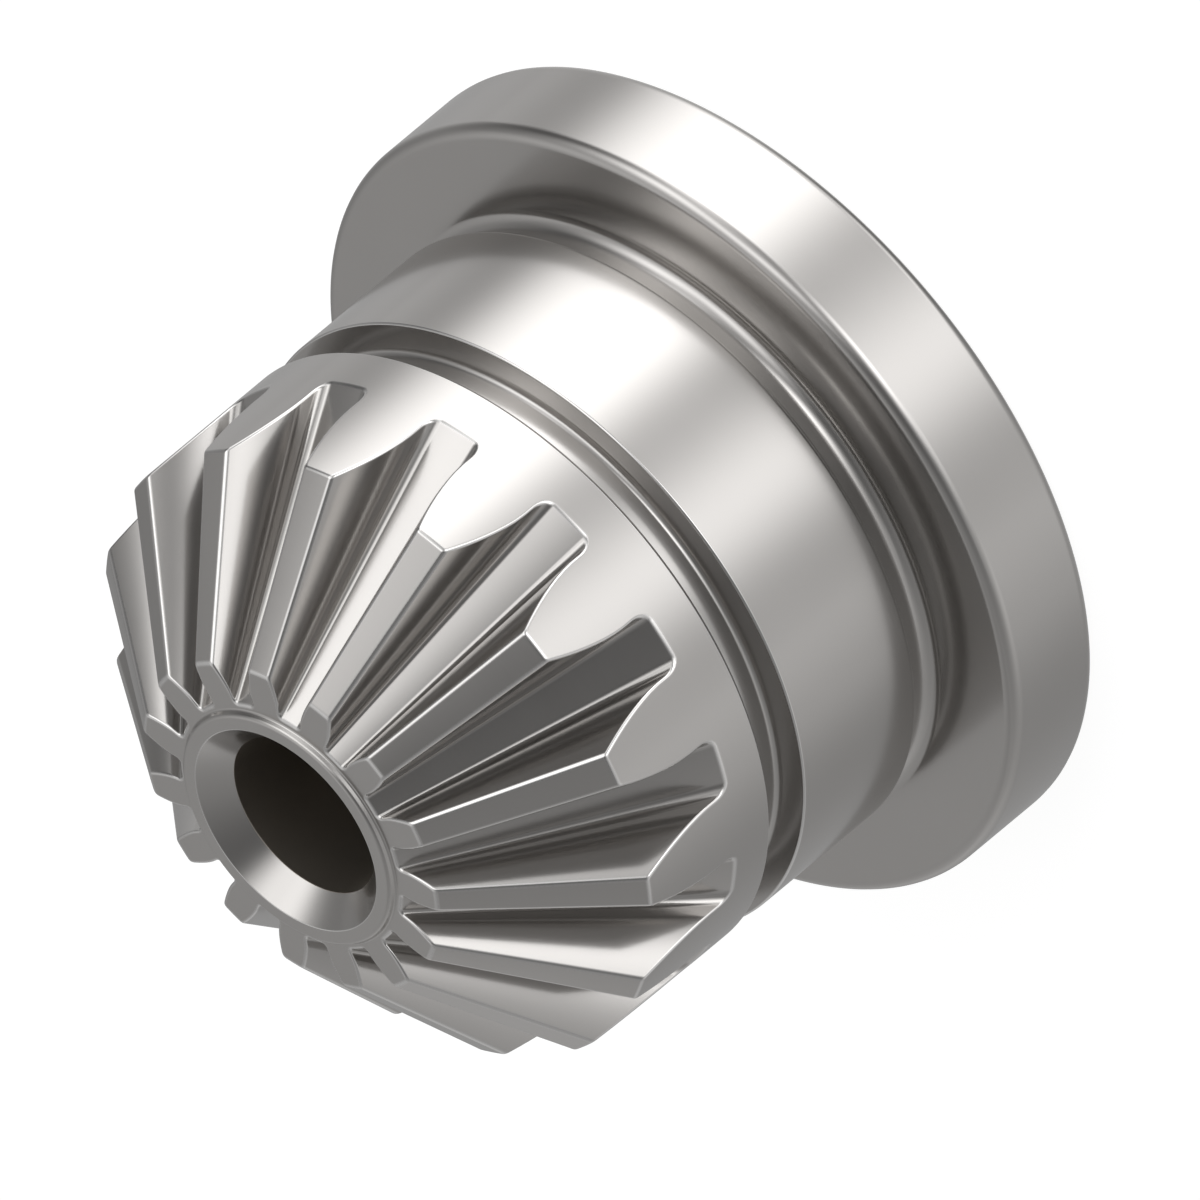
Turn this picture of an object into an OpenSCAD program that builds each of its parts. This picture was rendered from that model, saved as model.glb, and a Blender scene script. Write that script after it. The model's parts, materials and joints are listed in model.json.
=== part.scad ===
// Straight bevel gear with a bearing journal, a ring groove and a flange.
// The back face of the flange lies on Z = 0, the axis of the bore is Z and
// the teeth are at the top. The gaps between the teeth are pyramids whose
// sides all run to the apex of the pitch cone.

/* [Flange] */
// Diameter of the flange
flange_d = 44.2; // [38:0.1:60]
// Thickness of the flange
flange_t = 6; // [3:0.1:7]
// Radius of both outer edges of the flange
flange_edge_r = 0.7; // [0.2:0.1:1.2]

/* [Journal] */
// Diameter of the journal and of the outside of the teeth
journal_d = 35; // [32:0.1:37]
// Width of the undercut between the flange and the journal
undercut_w = 1.9; // [1:0.1:3]
// Depth of the undercut below the journal
undercut_depth = 0.65; // [0.2:0.05:1.2]
// Radius of the corner where the undercut meets the flange
undercut_r = 0.5; // [0.1:0.1:0.9]

/* [Ring groove] */
// Height of the groove's lower wall above the back face
groove_z = 16.3; // [12:0.1:17]
// Width of the groove
groove_w = 2.35; // [1.5:0.05:4]
// Depth of the groove below the journal
groove_depth = 2; // [0.8:0.1:3]
// Radius of the corners at the bottom of the groove
groove_corner_r = 0.4; // [0.1:0.1:0.7]
// Chamfer on the two rims of the groove
groove_chamfer = 0.15; // [0.1:0.05:0.5]

/* [Teeth] */
// Number of teeth
tooth_count = 15; // [12:1:18]
// Half angle of the pitch cone
pitch_angle = 45; // [42:0.5:48]
// Half angle of the root cone, whose apex is that of the pitch cone
root_angle = 39.4; // [37:0.1:41]
// Half angle of the face cone over the tips of the teeth
face_angle = 51.3; // [49:0.1:54]
// Height of the apex of the pitch cone above the back face
apex_z = 42.6; // [41.5:0.1:44]
// Height at which the face cone meets the outside diameter
heel_z = 27.5; // [26.5:0.1:28.5]
// Height of the flat small ends of the teeth
toe_z = 34; // [32:0.1:34.6]
// Thickness of a tooth on the pitch cone, at the outside diameter
tooth_t = 3.45; // [3:0.05:3.8]
// Pressure angle of the flanks
pressure_angle = 20; // [16:0.5:25]
// Radius of the corners at the root of the teeth, at the outside diameter
root_r = 0.5; // [0.2:0.05:0.7]

/* [Collar and bore] */
// Diameter of the collar round the mouth of the bore
collar_d = 13.5; // [12.4:0.1:14]
// Height of the collar above the small ends of the teeth
collar_h = 0.35; // [0.3:0.05:1]
// Radius of the collar's outer edge and of the corner at its foot
collar_edge_r = 0.12; // [0.05:0.01:0.15]
// Diameter of the bore
bore_d = 9; // [5:0.1:10]
// Diameter of the countersink at the collar
countersink_d = 11.6; // [10.4:0.1:12]
// Depth of the countersink
countersink_depth = 1.4; // [0.5:0.1:3]
// Chamfer where the bore leaves the back face
bore_chamfer = 0.5; // [0.1:0.1:1]

/* [Hidden] */

ROUND_FN = 90;
ARC_FN = 16;
FLANK_STEPS = 6;
CORNER_STEPS = 3;
OVERCUT = 1;

flange_r = flange_d / 2;
journal_r = journal_d / 2;
collar_r = collar_d / 2;
top_z = toe_z + collar_h;
undercut_floor_r = journal_r - undercut_depth;
groove_top = groove_z + groove_w;
groove_floor_r = journal_r - groove_depth;
face_apex_z = heel_z + journal_r / tan(face_angle);
toe_r = (face_apex_z - toe_z) * tan(face_angle);

// The gap's outline is drawn on the back cone, rolled out flat, where the
// flanks are plain involutes. A place on it is [distance from the back
// cone's apex, angle from the middle of the gap].
cone_distance = journal_r / sin(pitch_angle);
back_pitch_r = cone_distance * tan(pitch_angle);
back_base_r = back_pitch_r * cos(pressure_angle);
pitch_step = 360 / tooth_count;
tooth_half_angle = tooth_t / 2 / journal_r * 180 / PI;
gap_half_angle = (pitch_step / 2 - tooth_half_angle) * cos(pitch_angle);
// The involute runs on past the tips by flank_overrun, so that no corner of
// the outline falls on an edge of the blank. From there the outline runs
// straight out by tip_overrun, and it lies on a flat plane that stands clear
// of the outside of the teeth.
flank_overrun = 0.35;
tip_overrun = 1.2;
plane_x = journal_r + OVERCUT;

function involute(a) = tan(a) * 180 / PI - a;
function gap_angle(rho) =
    gap_half_angle - involute(pressure_angle)
    + involute(acos(min(1, back_base_r / rho)));

// Distance on the back cone at which a line from the pitch apex has the
// half angle a.
function back_r(a) =
    cone_distance * sin(a) / cos(pitch_angle) / cos(a - pitch_angle);

// The point of the outline [rho, theta] carried along its line to the pitch
// apex, out to radius 1 from the axis: [azimuth, drop below the apex].
function azimuth(theta) = theta / cos(pitch_angle);
function drop(rho) =
    (cone_distance / cos(pitch_angle) - rho * sin(pitch_angle))
    / (rho * cos(pitch_angle));

heel_angle = atan(journal_r / (apex_z - heel_z));
back_root_r = back_r(root_angle);
flank_end_r = back_r(heel_angle) + flank_overrun;
corner_centre_r = back_root_r + root_r;
flank_start_r = max(back_base_r, corner_centre_r);
corner_angle = gap_angle(flank_start_r) - asin(root_r / corner_centre_r);

// One corner of the root, from the root's flat to the flank
corner_points = [
    for (i = [0:CORNER_STEPS])
        let (t = 180 - 90 * i / CORNER_STEPS)
        let (along = corner_centre_r + root_r * cos(t))
        let (across = root_r * sin(t))
        [norm([along, across]), corner_angle + atan2(across, along)]
];
// The involute flank, from its foot to a little past the tip
flank_points = [
    for (i = [0:FLANK_STEPS])
        let (rho = flank_start_r
                 + (flank_end_r - flank_start_r) * i / FLANK_STEPS)
        [rho, gap_angle(rho)]
];
half_outline = concat(
    corner_points,
    flank_points,
    [[flank_end_r + tip_overrun, gap_angle(flank_end_r)]]
);

// A place of the outline on the flat plane x = plane_x
function on_plane(q, side) =
    let (a = azimuth(q[1]) * side)
    [plane_x, plane_x * tan(a), apex_z - plane_x / cos(a) * drop(q[0])];

// The outline from the tip on one side, round the root, to the other tip
gap_outline = concat(
    [for (i = [len(half_outline) - 1:-1:0]) on_plane(half_outline[i], -1)],
    [for (q = half_outline) on_plane(q, 1)]
);

// The gap stops short of the apex, clear of the collar by gap_clearance,
// at this share of its full length.
gap_clearance = 0.35;
apex = [0, 0, apex_z];
gap_end = (apex_z - top_z - gap_clearance)
          / (plane_x * drop(back_root_r));

// The gap between two teeth, with its middle over the X axis
module tooth_gap() {
    count = len(gap_outline);
    polyhedron(
        points = concat(
            gap_outline,
            [for (p = gap_outline) apex + gap_end * (p - apex)]
        ),
        faces = concat(
            [[for (i = [count - 1:-1:0]) i]],
            [[for (i = [0:count - 1]) count + i]],
            [for (i = [0:count - 1])
                let (j = (i + 1) % count)
                [i, j, count + j, count + i]]
        )
    );
}

// The region outside a quarter circle, in the corner of its square
module corner(r) {
    difference() {
        square(r + OVERCUT);
        circle(r, $fn = ARC_FN);
    }
}

// The region between a quarter circle and the corner at the origin
module fillet(r) {
    difference() {
        square(r);
        translate([r, r]) circle(r, $fn = ARC_FN);
    }
}

module flange_section() {
    difference() {
        square([flange_r, flange_t]);
        translate([flange_r - flange_edge_r, flange_t - flange_edge_r])
            corner(flange_edge_r);
        translate([flange_r - flange_edge_r, flange_edge_r])
            mirror([0, 1]) corner(flange_edge_r);
    }
}

module undercut_section() {
    difference() {
        translate([undercut_floor_r, flange_t])
            square([undercut_depth + OVERCUT, undercut_w]);
        translate([undercut_floor_r, flange_t]) fillet(undercut_r);
    }
}

module groove_section() {
    mouth_r = journal_r - groove_chamfer;
    difference() {
        union() {
            translate([groove_floor_r, groove_z])
                square([groove_depth + OVERCUT, groove_w]);
            polygon([
                [mouth_r, groove_z],
                [journal_r + OVERCUT, groove_z - groove_chamfer - OVERCUT],
                [journal_r + OVERCUT, groove_top + groove_chamfer + OVERCUT],
                [mouth_r, groove_top]
            ]);
        }
        translate([groove_floor_r, groove_z]) fillet(groove_corner_r);
        translate([groove_floor_r, groove_top])
            mirror([0, 1]) fillet(groove_corner_r);
    }
}

module collar_section() {
    difference() {
        translate([0, toe_z - OVERCUT]) square([collar_r, collar_h + OVERCUT]);
        translate([collar_r - collar_edge_r, top_z - collar_edge_r])
            corner(collar_edge_r);
    }
    translate([collar_r, toe_z]) fillet(collar_edge_r);
}

// Half of the section through the turned blank
module blank_section() {
    difference() {
        union() {
            flange_section();
            polygon([
                [0, flange_t / 2],
                [journal_r, flange_t / 2],
                [journal_r, heel_z],
                [toe_r, toe_z],
                [0, toe_z]
            ]);
        }
        undercut_section();
        groove_section();
    }
    collar_section();
}

// A cone that widens upward from the bore to a given diameter over a given
// depth, and runs on past that by the overcut.
module mouth_cone(depth, wide_d) {
    cone_h = depth + OVERCUT;
    cylinder(h = cone_h, d1 = bore_d,
             d2 = bore_d + (wide_d - bore_d) * cone_h / depth, $fn = ROUND_FN);
}

module bore() {
    translate([0, 0, -OVERCUT])
        cylinder(h = top_z + 2 * OVERCUT, d = bore_d, $fn = ROUND_FN);
    translate([0, 0, top_z - countersink_depth])
        mouth_cone(countersink_depth, countersink_d);
    translate([0, 0, bore_chamfer])
        mirror([0, 0, 1]) mouth_cone(bore_chamfer, bore_d + 2 * bore_chamfer);
}

module bevel_gear() {
    color("#8f8e8c")
    difference() {
        rotate_extrude($fn = ROUND_FN) blank_section();
        bore();
        for (i = [0:tooth_count - 1])
            rotate([0, 0, pitch_step * (i + 0.5)]) tooth_gap();
    }
}

bevel_gear();
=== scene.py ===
"""The straight bevel gear, finished: its whole surface with every edge broken, its
machined steel, the studio round it and the camera.

Sizes are in millimetres until a mesh is written. The gear is one closed mesh, laid out as
rows that run round the axis. The rows start on the flanks and tips of the teeth, pass over
the small end, the collar, the bore, the back, the flange, the journal and the groove, and
come back to the teeth over the outside diameter."""

import json
from math import asin, atan2, cos, hypot, pi, radians, sin, tan

import bpy
import numpy as np
from mathutils import Matrix, Vector


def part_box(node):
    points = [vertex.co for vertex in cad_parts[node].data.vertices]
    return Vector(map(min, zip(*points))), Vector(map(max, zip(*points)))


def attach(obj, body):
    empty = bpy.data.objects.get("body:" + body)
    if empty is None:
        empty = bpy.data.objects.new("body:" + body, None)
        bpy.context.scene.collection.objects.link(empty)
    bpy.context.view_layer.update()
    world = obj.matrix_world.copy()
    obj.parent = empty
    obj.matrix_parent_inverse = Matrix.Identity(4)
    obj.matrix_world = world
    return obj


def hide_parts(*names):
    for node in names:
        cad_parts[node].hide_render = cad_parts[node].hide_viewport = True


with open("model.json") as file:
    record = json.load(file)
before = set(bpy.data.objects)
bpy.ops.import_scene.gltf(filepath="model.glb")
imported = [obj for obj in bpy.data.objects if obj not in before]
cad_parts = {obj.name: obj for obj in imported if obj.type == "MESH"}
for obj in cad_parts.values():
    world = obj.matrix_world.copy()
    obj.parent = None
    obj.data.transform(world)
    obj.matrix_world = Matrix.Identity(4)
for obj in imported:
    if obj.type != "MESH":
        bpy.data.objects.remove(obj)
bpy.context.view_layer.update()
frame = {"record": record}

MM = 0.001
mounts = {m["name"]: m for m in frame["record"]["mounts"]}
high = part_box("bevel_gear")[1]

# Flange, in millimetres as everything below
flange_r = high.x / MM
flange_t = 6.0
flange_edge_r = 0.7

# Journal, and the undercut with its corners at the flange, at the far wall and at the lip
journal_r = mounts["journal"]["dims"]["r_mm"]
undercut_w = 1.9
undercut_depth = 0.9
undercut_r = 0.83
undercut_corner_r = 0.5
undercut_lip_r = 0.3

# Ring groove. Its two rims are broken by the low and the high chamfer.
groove_z = 16.21
groove_w = 2.38
groove_depth = 1.76
groove_corner_r = 0.38
groove_low_chamfer = 0.08
groove_high_chamfer = 0.26

# Teeth, cut from the apex of the pitch cone
tooth_count = 15
pitch_angle = radians(45)
root_angle = radians(39.4)
face_angle = radians(51.3)
pressure_angle = radians(20)
apex_z = 42.6
heel_z = 27.5
toe_z = 34.0
tooth_t = 3.45
root_r = 0.5

# Collar and bore. The collar's side leans in from its foot to its top, and foot_land is the
# flat of the small ends that runs round the foot.
collar_foot_r = 6.76
collar_top_r = 6.6
collar_fillet_r = 0.15
collar_edge_r = 0.25
foot_land = 0.1
top_z = high.z / MM
bore_r = mounts["bore"]["dims"]["r_mm"]
countersink_r = 5.8
countersink_depth = 1.4
bore_chamfer = 0.5

# Broken edges: how far each runs in from the sharp corner
tip_break = 0.19
end_break = 0.17
turned_break = 0.1
# Between two turned corners closer than this the whole face is a broken edge
chamfer_most = 0.3

# Height above the groove at which the round band starts to change into the teeth
band_start = 1.0
# How far the columns fan out below the teeth, on the collar's foot and on the rest
foot_spread = radians(2)
body_spread = radians(0.8)
# The share of the spread that the first column past a root takes
first_push = 0.15

# Steps along one half of a tooth and its gap, from the middle of the gap
ROOT_STEPS = 2
CORNER_STEPS = 6
FOOT_STEPS = 1
FLANK_STEPS = 9
BREAK_STEPS = 3
LAND_STEPS = 3
LENGTH_STEPS = 8
ARC_STEPS = 7
# Rounded corners up to small_radius take fewer steps
SMALL_ARC_STEPS = 3
small_radius = 0.2
# Rounds of the search for the line where a flank meets the face cone
TIP_ROUNDS = 12

# The tooth form, rolled out flat on the back cone as in the part's own source
cone_distance = journal_r / sin(pitch_angle)
back_pitch_r = cone_distance * tan(pitch_angle)
back_base_r = back_pitch_r * cos(pressure_angle)
tooth_half_angle = tooth_t / 2 / journal_r
gap_half_angle = (pi / tooth_count - tooth_half_angle) * cos(pitch_angle)
face_apex_z = heel_z + journal_r / tan(face_angle)
back_root_r = cone_distance * sin(root_angle) / cos(pitch_angle) / cos(root_angle - pitch_angle)
corner_centre_r = back_root_r + root_r
pitch_step = 2 * pi / tooth_count


def involute(a):
    return np.tan(a) - a


def gap_angle(rho):
    """Half the angle of the gap on the back cone, at the distance rho from its apex."""
    roll = np.arccos(np.minimum(1, back_base_r / rho))
    return gap_half_angle - involute(pressure_angle) + involute(roll)


corner_angle = gap_angle(back_base_r) - asin(root_r / corner_centre_r)


def drop(rho):
    """How far a line from the apex falls, for each millimetre that it runs out."""
    return (cone_distance / cos(pitch_angle) - rho * sin(pitch_angle)) / (rho * cos(pitch_angle))


def rho_of(fall):
    return cone_distance / cos(pitch_angle) / (fall * cos(pitch_angle) + sin(pitch_angle))


def unit(v):
    return v / np.linalg.norm(v, axis=-1, keepdims=True)


def radius_at(v, fall):
    """Distance from the axis of a line's point, v = 0 at the big end and 1 at the small end."""
    toe = (apex_z - toe_z) / fall
    return journal_r + (toe - journal_r) * v


def tip_at(v):
    """Where the flank meets the face cone: distance from the axis and place on the back cone."""
    r = radius_at(v, 1 / tan(face_angle))
    for _ in range(TIP_ROUNDS):
        r = radius_at(v, 1 / tan(face_angle) + (apex_z - face_apex_z) / r)
    return r, rho_of(1 / tan(face_angle) + (apex_z - face_apex_z) / r)


def on_line(rho, theta, v):
    """A point of the gap's wall, carried along its line from the apex."""
    fall = drop(rho)
    r = radius_at(v, fall)
    a = theta / cos(pitch_angle)
    return np.stack([r * np.cos(a), r * np.sin(a), apex_z - r * fall], -1)


def gap_wall(rho, theta, rho_next, theta_next, v):
    """Points and normals of the gap's wall. The next place along the outline gives the slope."""
    p = on_line(rho, theta, v)
    q = on_line(rho_next, theta_next, v)
    return p, unit(np.cross(p - [0, 0, apex_z], q - p))


def half_tooth(v):
    """Points and normals from the middle of a gap to the middle of the tooth beside it. v has
    one value for each of them."""
    parts = []
    count = 0

    def take(n):
        nonlocal count
        count += n
        return v[count - n:count]

    tiny = 1e-4
    t = np.linspace(0, 1, ROOT_STEPS + 1)[:-1]
    theta = corner_angle * t
    rho = np.full_like(t, back_root_r)
    parts.append(gap_wall(rho, theta, rho, theta + tiny, take(ROOT_STEPS)))

    def corner(turn):
        along = corner_centre_r - root_r * np.cos(turn)
        across = root_r * np.sin(turn)
        return np.hypot(along, across), corner_angle + np.arctan2(across, along)

    turn = np.linspace(0, pi / 2, CORNER_STEPS + 1)[:-1]
    parts.append(gap_wall(*corner(turn), *corner(turn + tiny), take(CORNER_STEPS)))

    foot_r, foot_theta = corner(np.full(FOOT_STEPS, pi / 2))
    t = np.linspace(0, 1, FOOT_STEPS + 1)[:-1]
    rho = foot_r + (back_base_r - foot_r) * t
    parts.append(gap_wall(rho, foot_theta, rho + tiny, foot_theta, take(FOOT_STEPS)))

    vf = take(FLANK_STEPS)
    tip_r, tip_rho = tip_at(vf)
    end_rho = tip_rho - tip_break * journal_r / tip_r
    t = np.linspace(0, 1, FLANK_STEPS)
    rho = back_base_r + (end_rho - back_base_r) * t
    parts.append(gap_wall(rho, gap_angle(rho), rho + tiny, gap_angle(rho + tiny), vf))

    def land(r, a):
        p = np.stack([r * np.cos(a), r * np.sin(a), face_apex_z - r / tan(face_angle)], -1)
        n = np.stack([cos(face_angle) * np.cos(a), cos(face_angle) * np.sin(a),
                      np.full_like(a, sin(face_angle))], -1)
        return p, n

    vb = take(BREAK_STEPS - 1)
    tip_r, tip_rho = tip_at(vb)
    tip_theta = gap_angle(tip_rho)
    before = tip_rho - tip_break * journal_r / tip_r
    wall_p, wall_n = gap_wall(before, gap_angle(before), before + tiny, gap_angle(before + tiny), vb)
    land_p, land_n = land(tip_r, tip_theta / cos(pitch_angle) + tip_break / tip_r)
    t = np.linspace(0, 1, BREAK_STEPS + 1)[1:-1, None]
    parts.append(rounding(wall_p, on_line(tip_rho, tip_theta, vb), land_p, wall_n, land_n, t))

    vl = take(LAND_STEPS + 1)
    tip_r, tip_rho = tip_at(vl)
    start = gap_angle(tip_rho) / cos(pitch_angle) + tip_break / tip_r
    t = np.linspace(0, 1, LAND_STEPS + 1)
    parts.append(land(tip_r, start + (pitch_step / 2 - start) * t))
    return np.vstack([p for p, n in parts]), np.vstack([n for p, n in parts])


TIP_BREAK_START = ROOT_STEPS + CORNER_STEPS + FOOT_STEPS + FLANK_STEPS
HALF_COUNT = TIP_BREAK_START + BREAK_STEPS - 1 + LAND_STEPS + 1

# How far the colour is brightened by a painted highlight, from 0 on the plain surfaces to 1 on the
# broken edges
plain = np.zeros(HALF_COUNT)
rubbed = np.ones(HALF_COUNT)
# On the teeth's rows only the broken edge at the tip takes the painted highlight
tip_painted_highlight = np.zeros(HALF_COUNT)
tip_painted_highlight[TIP_BREAK_START:TIP_BREAK_START + BREAK_STEPS - 1] = 1


def rounding(a, corner, b, normal_a, normal_b, t):
    """The broken edge between two surfaces, as a curve that leaves a and reaches b smoothly."""
    p = (1 - t) ** 2 * a + 2 * t * (1 - t) * corner + t ** 2 * b
    return p, unit((1 - t) * normal_a + t * normal_b)


def whole_turn(half):
    """A row round the axis, from the half of one pitch. x runs through the middle of a gap
    there, and the row is turned so that a tooth lies over +X."""
    mirrored = half[:0:-1] * [1, -1, 1]
    pitch = np.vstack([mirrored, half[:-1]])
    pitches = []
    for i in range(tooth_count):
        a = pitch_step * (i + 0.5)
        turn = np.array([[cos(a), -sin(a), 0], [sin(a), cos(a), 0], [0, 0, 1]])
        pitches.append(pitch @ turn.T)
    return np.vstack(pitches)


def azimuth(p):
    return np.arctan2(p[:, 1], p[:, 0])


def end_edge(v_end, end_normal):
    """The broken edge at one end of the teeth: rows from the walls of the teeth to the end
    surface, which is the outside diameter or the flat of the small ends."""
    sharp, sharp_n = half_tooth(np.full(HALF_COUNT, float(v_end)))
    other, _ = half_tooth(np.full(HALF_COUNT, 1.0 - v_end))
    share = end_break / np.linalg.norm(other - sharp, axis=1)
    wall, wall_n = half_tooth(np.abs(v_end - share))
    face_n = end_normal(sharp)
    outward = sharp_n - face_n * np.sum(sharp_n * face_n, 1, keepdims=True)
    face = sharp - end_break * unit(outward)
    if v_end == 0:
        r = np.hypot(face[:, 0], face[:, 1])[:, None]
        face[:, :2] *= journal_r / r
    rows = [(wall, wall_n, tip_painted_highlight)]
    for i in range(1, BREAK_STEPS):
        t = i / BREAK_STEPS
        rows.append((*rounding(wall, sharp, face, wall_n, end_normal(face), t), rubbed))
    rows.append((face, end_normal(face), plain))
    return rows, share


def radial(p):
    return unit(p * [1, 1, 0])


def upward(p):
    return np.tile([0.0, 0.0, 1.0], (len(p), 1))


def fanned(a, spread):
    """The columns' angles where they leave the teeth, opened out past the root's corner so
    that no two coincide."""
    first = ROOT_STEPS + CORNER_STEPS
    last = HALF_COUNT - LAND_STEPS - 1
    push = np.zeros(HALF_COUNT)
    push[first:last + 1] = np.linspace(first_push, 1, last - first + 1)
    push[last:] = np.linspace(1, 0, LAND_STEPS + 1)
    return a + spread * push


def turned(corners):
    """A turned outline with each of its corners rounded. A corner is (r, z, radius), and the
    rows that it gives are (r, z, normal's r, normal's z, whether a broken edge)."""
    rows = []
    for i, (r, z, radius) in enumerate(corners):
        p = np.array([r, z])
        if i in (0, len(corners) - 1):
            other = np.array(corners[1 if i == 0 else i - 1][:2])
            d = (other - p) if i == 0 else (p - other)
            d = d / hypot(*d)
            rows.append((r, z, d[1], -d[0], False))
            continue
        d_in = p - np.array(corners[i - 1][:2])
        d_out = np.array(corners[i + 1][:2]) - p
        d_in, d_out = d_in / hypot(*d_in), d_out / hypot(*d_out)
        turn = atan2(d_in[0] * d_out[1] - d_in[1] * d_out[0], d_in @ d_out)
        reach = radius * tan(abs(turn) / 2)
        start = p - d_in * reach
        side = 1 if turn > 0 else -1
        centre = start + side * radius * np.array([-d_in[1], d_in[0]])
        steps = ARC_STEPS if radius > small_radius else SMALL_ARC_STEPS
        chamfer_before = hypot(*(p - corners[i - 1][:2])) < chamfer_most
        chamfer_after = hypot(*(p - corners[i + 1][:2])) < chamfer_most
        for k in range(steps + 1):
            broken = radius == turned_break
            broken = broken and (k > 0 or chamfer_before) and (k < steps or chamfer_after)
            a = turn * k / steps
            c, s = cos(a), sin(a)
            q = start - centre
            q = centre + np.array([c * q[0] - s * q[1], s * q[0] + c * q[1]])
            d = np.array([c * d_in[0] - s * d_in[1], s * d_in[0] + c * d_in[1]])
            rows.append((q[0], q[1], d[1], -d[0], broken))
    return rows


def turned_corners():
    """The section from the small end's flat, over the collar, down the bore, over the back and
    up the outside to the teeth."""
    e = turned_break
    undercut_floor_r = journal_r - undercut_depth
    groove_top = groove_z + groove_w
    groove_floor_r = journal_r - groove_depth
    return [
        (collar_foot_r + foot_land, toe_z, 0),
        (collar_foot_r, toe_z, collar_fillet_r),
        (collar_top_r, top_z, collar_edge_r),
        (countersink_r, top_z, e),
        (bore_r, top_z - countersink_depth, e),
        (bore_r, bore_chamfer, e),
        (bore_r + bore_chamfer, 0, e),
        (flange_r, 0, flange_edge_r),
        (flange_r, flange_t, flange_edge_r),
        (undercut_floor_r, flange_t, undercut_r),
        (undercut_floor_r, flange_t + undercut_w, undercut_corner_r),
        (journal_r, flange_t + undercut_w, undercut_lip_r),
        (journal_r, groove_z - groove_low_chamfer, e),
        (journal_r - groove_low_chamfer, groove_z, e),
        (groove_floor_r, groove_z, groove_corner_r),
        (groove_floor_r, groove_top, groove_corner_r),
        (journal_r - groove_high_chamfer, groove_top, e),
        (journal_r, groove_top + groove_high_chamfer, e),
        (journal_r, groove_top + band_start, 0),
    ]


def gear_rows():
    """All rows of the gear's surface, each with its points, normals and shares of painted highlight.
    """
    heel, heel_share = end_edge(0, radial)
    toe, toe_share = end_edge(1, upward)
    rows = []
    for t in np.linspace(0, 1, LENGTH_STEPS + 1)[1:-1]:
        v = heel_share + (1 - toe_share - heel_share) * t
        rows.append((*half_tooth(v), tip_painted_highlight))
    rows += toe
    foot_a = fanned(azimuth(toe[-1][0]), foot_spread)
    body_a = fanned(azimuth(heel[-1][0]), body_spread)
    # The flat's first row and the rows of the fillet at the collar's foot
    foot_rows = 1 + SMALL_ARC_STEPS + 1
    # Broken edges of the turned section take the painted highlight as well
    for i, (r, z, nr, nz, broken) in enumerate(turned(turned_corners())):
        a = foot_a if i < foot_rows else body_a
        rows.append((
            np.stack([r * np.cos(a), r * np.sin(a), np.full_like(a, z)], -1),
            np.stack([nr * np.cos(a), nr * np.sin(a), np.full_like(a, nz)], -1),
            rubbed if broken else plain,
        ))
    rows += heel[::-1]
    return rows


def closed_mesh(name, rows):
    """One mesh from rows that run round the axis. It closes on itself both ways."""
    points = np.array([whole_turn(p) for p, n, share in rows])
    normals = np.array([whole_turn(n) for p, n, share in rows])
    shares = np.array([np.tile([*share[:0:-1], *share[:-1]], tooth_count) for p, n, share in rows])
    count, width = points.shape[:2]
    here = np.arange(count * width).reshape(count, width)
    after = np.roll(here, -1, axis=1)
    above = np.roll(here, -1, axis=0)
    both = np.roll(above, -1, axis=1)
    faces = np.stack([here, after, both, above], -1).reshape(-1, 4)
    mesh = bpy.data.meshes.new(name)
    mesh.from_pydata((points.reshape(-1, 3) * MM).tolist(), [], faces.tolist())
    mesh.polygons.foreach_set("use_smooth", np.ones(len(mesh.polygons), bool))
    # This attribute holds each point's share of painted highlight, 1 on the broken edges
    mesh.attributes.new("rubbed", "FLOAT", "POINT").data.foreach_set("value", shares.ravel())
    mesh.normals_split_custom_set_from_vertices(unit(normals.reshape(-1, 3)).tolist())
    mesh.update()
    return mesh


gear = bpy.data.objects.new("gear_finished", closed_mesh("gear_finished", gear_rows()))
bpy.context.scene.collection.objects.link(gear)
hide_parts("bevel_gear")
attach(gear, "root")


class Socket:
    """One value in a shader. Arithmetic on it adds Math nodes."""

    def __init__(self, graph, socket):
        self.graph = graph
        self.socket = socket

    def __add__(self, other):
        return self.graph.maths("ADD", self, other)

    def __radd__(self, other):
        return self.graph.maths("ADD", other, self)

    def __sub__(self, other):
        return self.graph.maths("SUBTRACT", self, other)

    def __rsub__(self, other):
        return self.graph.maths("SUBTRACT", other, self)

    def __mul__(self, other):
        return self.graph.maths("MULTIPLY", self, other)

    def __rmul__(self, other):
        return self.graph.maths("MULTIPLY", other, self)

    def __gt__(self, other):
        return self.graph.maths("GREATER_THAN", self, other)


class Graph:
    """The nodes of a material or of the world."""

    def __init__(self, owner):
        owner.use_nodes = True
        self.tree = owner.node_tree
        self.tree.nodes.clear()

    def add(self, kind, settings=None, sockets=None, output=0):
        """Adds a node: its settings, then its sockets by name or number. Gives back the
        chosen output."""
        node = self.tree.nodes.new(kind)
        for name, value in (settings or {}).items():
            setattr(node, name, value)
        for key, value in (sockets or {}).items():
            if isinstance(value, Socket):
                self.tree.links.new(value.socket, node.inputs[key])
            else:
                node.inputs[key].default_value = value
        return Socket(self, node.outputs[output]) if node.outputs else None

    def maths(self, operation, *values):
        return self.add("ShaderNodeMath", {"operation": operation}, dict(enumerate(values)))

    def dot(self, vector, fixed):
        return self.add("ShaderNodeVectorMath", {"operation": "DOT_PRODUCT"},
                        {0: vector, 1: tuple(fixed)}, "Value")

    def mix_colour(self, share, a, b):
        return self.add("ShaderNodeMix", {"data_type": "RGBA"}, {0: share, 6: a, 7: b}, 2)

    def noise(self, place, size, detail=2.0):
        """Noise whose lumps are about size millimetres wide, from about -0.5 to 0.5."""
        return self.add("ShaderNodeTexNoise", None, {
            "Vector": place, "Scale": 1 / (size * MM), "Detail": detail}) - 0.5


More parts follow.
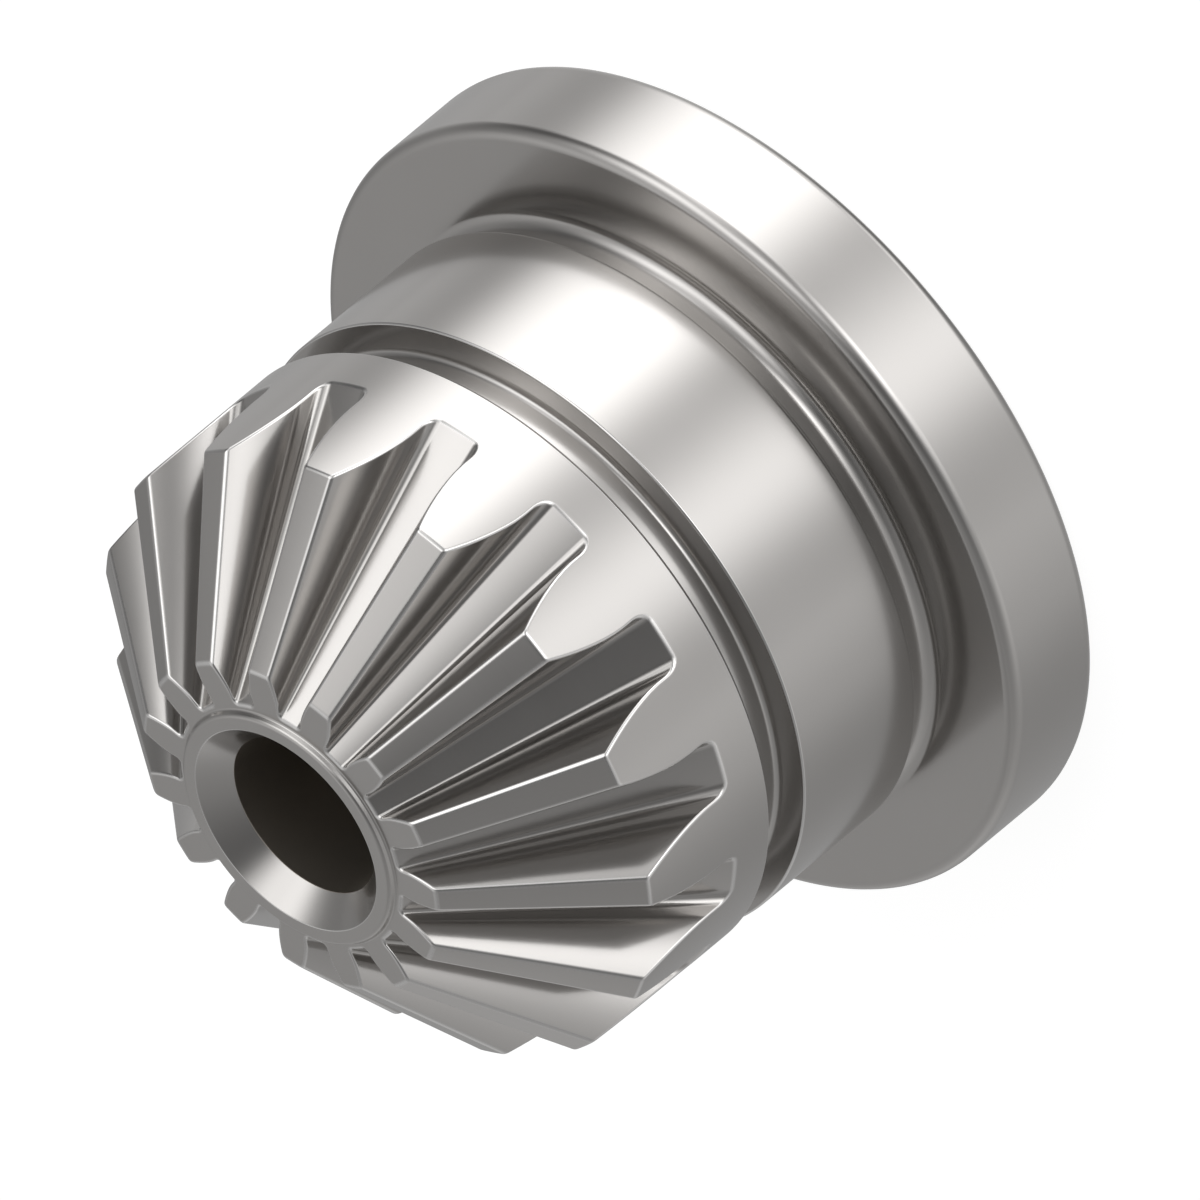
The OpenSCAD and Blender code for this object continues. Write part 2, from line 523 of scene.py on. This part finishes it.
# Colours of the steel: plain, brighter on the broken edges as a painted highlight, and darker in the
# bore as painted shade
plain_steel = (0.48, 0.466, 0.451, 1)
highlight_steel = (0.68, 0.67, 0.66, 1)
shaded_bore_steel = (0.38, 0.347, 0.305, 1)
# Width of the lumps in each of the steel's patterns, in millimetres
mark_size = 0.12
cloud_size = 3.5
grain_size = 0.07
# The satin finish is two sheens over each other, given by their roughness. broad_share is how
# much of the light the broad one takes, and bore_dullness is how much rougher the bore is.
fine_sheen = 0.16
broad_sheen = 0.3
broad_share = 0.35
bore_dullness = 0.25
# How far the bore's finish reaches past its wall
bore_margin = 0.02
# Height of the tool marks, and how much of it shows
mark_height = 0.02
mark_strength = 0.02


def machined_steel():
    """Bare steel with a fine satin finish. Tool marks run round the axis and the surface is a little
    cloudy. The broken edges are brighter by a painted highlight, and the bore is rougher, darker by
    painted shade and has no marks."""
    material = bpy.data.materials.new("machined_steel")
    g = Graph(material)
    place = g.add("ShaderNodeTexCoord", output="Object")
    height = g.dot(place, (0, 0, 1))
    flat = g.add("ShaderNodeVectorMath", {"operation": "MULTIPLY"}, {0: place, 1: (1, 1, 0)})
    from_axis = g.add("ShaderNodeVectorMath", {"operation": "LENGTH"}, {0: flat}, "Value")
    section = g.add("ShaderNodeCombineXYZ", None, {0: from_axis, 1: 0.0, 2: height})
    bored = g.maths("LESS_THAN", from_axis, (bore_r + bore_margin) * MM)
    marks = g.noise(section, mark_size) * (1 - bored)
    cloud = g.noise(place, cloud_size, 4.0)
    grain = g.noise(place, grain_size) * (1 - bored)
    # This attribute is the painted highlight of the broken edges, brightening their colour
    painted_highlight_share = g.add("ShaderNodeAttribute", {"attribute_name": "rubbed"}, output="Fac")

    shade = cloud * 0.09 + marks * 0.045 + grain * 0.03 + painted_highlight_share * 0.9 + 0.05
    outer_colour = g.mix_colour(shade, plain_steel, highlight_steel)
    # The bore's colour is darker: painted shade in the bore
    colour = g.mix_colour(bored, outer_colour, shaded_bore_steel)
    uneven = cloud * 0.05 + marks * 0.04 + grain * 0.02 - painted_highlight_share * 0.05
    surface = g.add("ShaderNodeBump", None, {
        "Strength": mark_strength,
        "Distance": mark_height * MM,
        "Height": marks * 0.6 + grain * 0.4,
    })

    def sheen(roughness):
        return g.add("ShaderNodeBsdfPrincipled", None, {
            "Base Color": colour,
            "Metallic": 1.0,
            "Roughness": uneven + bored * bore_dullness + roughness,
            "Normal": surface,
        })

    both = {0: broad_share, 1: sheen(fine_sheen), 2: sheen(broad_sheen)}
    shader = g.add("ShaderNodeMixShader", None, both)
    g.add("ShaderNodeOutputMaterial", None, {"Surface": shader})
    return material


# The floor: its grey where light falls on it, the white it shows the camera by itself, its
# half width in metres, and how far it lies below the gear so that the two don't touch
floor_grey = 0.25
floor_glow = 0.9
floor_reach = 3.0
floor_gap = 0.00002


def pale_floor():
    """Matt white. To the camera it shows as white as the backdrop, darker only where the gear
    shades it."""
    material = bpy.data.materials.new("pale_floor")
    g = Graph(material)
    seen = g.add("ShaderNodeLightPath", output="Is Camera Ray")
    matt = g.add("ShaderNodeBsdfDiffuse", None, {"Color": (floor_grey, floor_grey, floor_grey, 1)})
    glow = g.add("ShaderNodeEmission", None, {"Color": seen * floor_glow, "Strength": 1.0})
    both = g.add("ShaderNodeAddShader", None, {0: matt, 1: glow})
    g.add("ShaderNodeOutputMaterial", None, {"Surface": both})
    return material


def toward(azimuth_deg, elevation_deg):
    a, e = radians(azimuth_deg), radians(elevation_deg)
    return Vector((cos(e) * cos(a), cos(e) * sin(a), sin(e)))


# The studio's soft boxes: azimuth, elevation and turn in degrees, then the half width and
# half height over which the light fades, and its strength
soft_boxes = [
    (-96, -4, 33, 18.6, 23.1, 2.70),
    (-25, 33, 77, 22.5, 17.7, 2.03),
    (-28, -24, -56, 38.4, 12.9, 1.83),
    (-46, -32, -36, 18.5, 12.4, 2.42),
    (-90, -46, -38, 41.8, 11.6, 1.37),
    (-155, -22, -63, 39.0, 28.7, 0.73),
    (-57, 47, 58, 20.7, 13.7, 1.40),
    (-8, -26, -34, 14.1, 11.6, 0.99),
    (44, 64, 86, 35.0, 26.4, 0.56),
    (-175, -70, 82, 28.3, 62.7, 0.22),
    (58, -44, 43, 17.5, 42.8, 0.42),
    (124, 6, 70, 28.2, 46.4, 0.24),
    (32, -34, -15, 21.4, 14.5, 0.15),
    (83, -41, 81, 13.4, 10.4, 0.22),
]
# Between them the room is grey, by its level, the slope of its level, and its least level
room_level = 0.056
room_slope = Vector((-0.066, 0.19, 0.085))
room_dark = 0.02


def studio():
    """White to the camera and through clear things. As light and in reflections it is a grey
    room with soft boxes."""
    world = bpy.data.worlds.new("studio")
    bpy.context.scene.world = world
    g = Graph(world)
    way = g.add("ShaderNodeTexCoord", output="Generated")
    light = g.maths("MAXIMUM", g.dot(way, room_slope) + room_level, room_dark)
    for place_a, place_e, turn, width, tall, strength in soft_boxes:
        centre = toward(place_a, place_e)
        level = Vector((0, 0, 1)).cross(centre).normalized()
        across = Matrix.Rotation(radians(turn), 3, centre) @ level
        along = centre.cross(across)
        u = g.dot(way, across / radians(width))
        v = g.dot(way, along / radians(tall))
        fade = g.maths("EXPONENT", (u * u + v * v) * -1.0)
        light = light + fade * (g.dot(way, centre) > 0.0) * strength
    seen = g.add("ShaderNodeLightPath", output="Is Camera Ray")
    through = g.add("ShaderNodeLightPath", output="Is Transmission Ray")
    white = g.maths("MAXIMUM", seen, through)
    strength = g.add("ShaderNodeMix", {"data_type": "FLOAT"}, {0: white, 2: light, 3: 1.0})
    shader = g.add("ShaderNodeBackground", None, {"Color": (1, 1, 1, 1), "Strength": strength})
    g.add("ShaderNodeOutputWorld", None, {"Surface": shader})


def stand():
    """The floor under the gear."""
    corners = [(x * floor_reach, y * floor_reach, 0) for x, y in ((-1, -1), (1, -1), (1, 1), (-1, 1))]
    mesh = bpy.data.meshes.new("floor")
    mesh.from_pydata(corners, [], [(0, 1, 2, 3)])
    mesh.materials.append(pale_floor())
    floor = bpy.data.objects.new("floor", mesh)
    floor.location.z = -floor_gap
    floor.visible_glossy = False
    bpy.context.scene.collection.objects.link(floor)


# Where the camera stands, in degrees, and how far it is turned about its own axis
camera_azimuth = -93.15
camera_elevation = 31.62
camera_roll = 129.705
# The width of the picture, and how far right of and above its middle the point aim on the
# gear's axis lies, in millimetres
camera_width = 58.06
aim = Vector((0, 0, 0.315))
right_of_middle = 7.088
above_middle = 7.359
# Its distance in metres, which shows nowhere because it has no perspective
camera_distance = 0.3


def camera():
    """A camera without perspective, turned about its own axis as the photograph is."""
    away = toward(camera_azimuth, camera_elevation)
    roll = radians(camera_roll)
    level = Vector((0, 0, 1)).cross(away).normalized()
    upright = away.cross(level)
    up = cos(roll) * upright + sin(roll) * level
    right = cos(roll) * level - sin(roll) * upright
    middle = (aim - right * right_of_middle - up * above_middle) * MM
    data = bpy.data.cameras.new("camera")
    data.type = "ORTHO"
    data.ortho_scale = camera_width * MM
    data.clip_start = 0.01
    data.clip_end = 20
    seat = bpy.data.objects.new("camera", data)
    axes = Matrix((right, up, away)).transposed().to_4x4()
    seat.matrix_world = Matrix.Translation(middle + away * camera_distance) @ axes
    bpy.context.scene.collection.objects.link(seat)
    bpy.context.scene.camera = seat


gear.data.materials.append(machined_steel())
studio()
stand()
camera()
bpy.context.scene.view_settings.view_transform = "Standard"
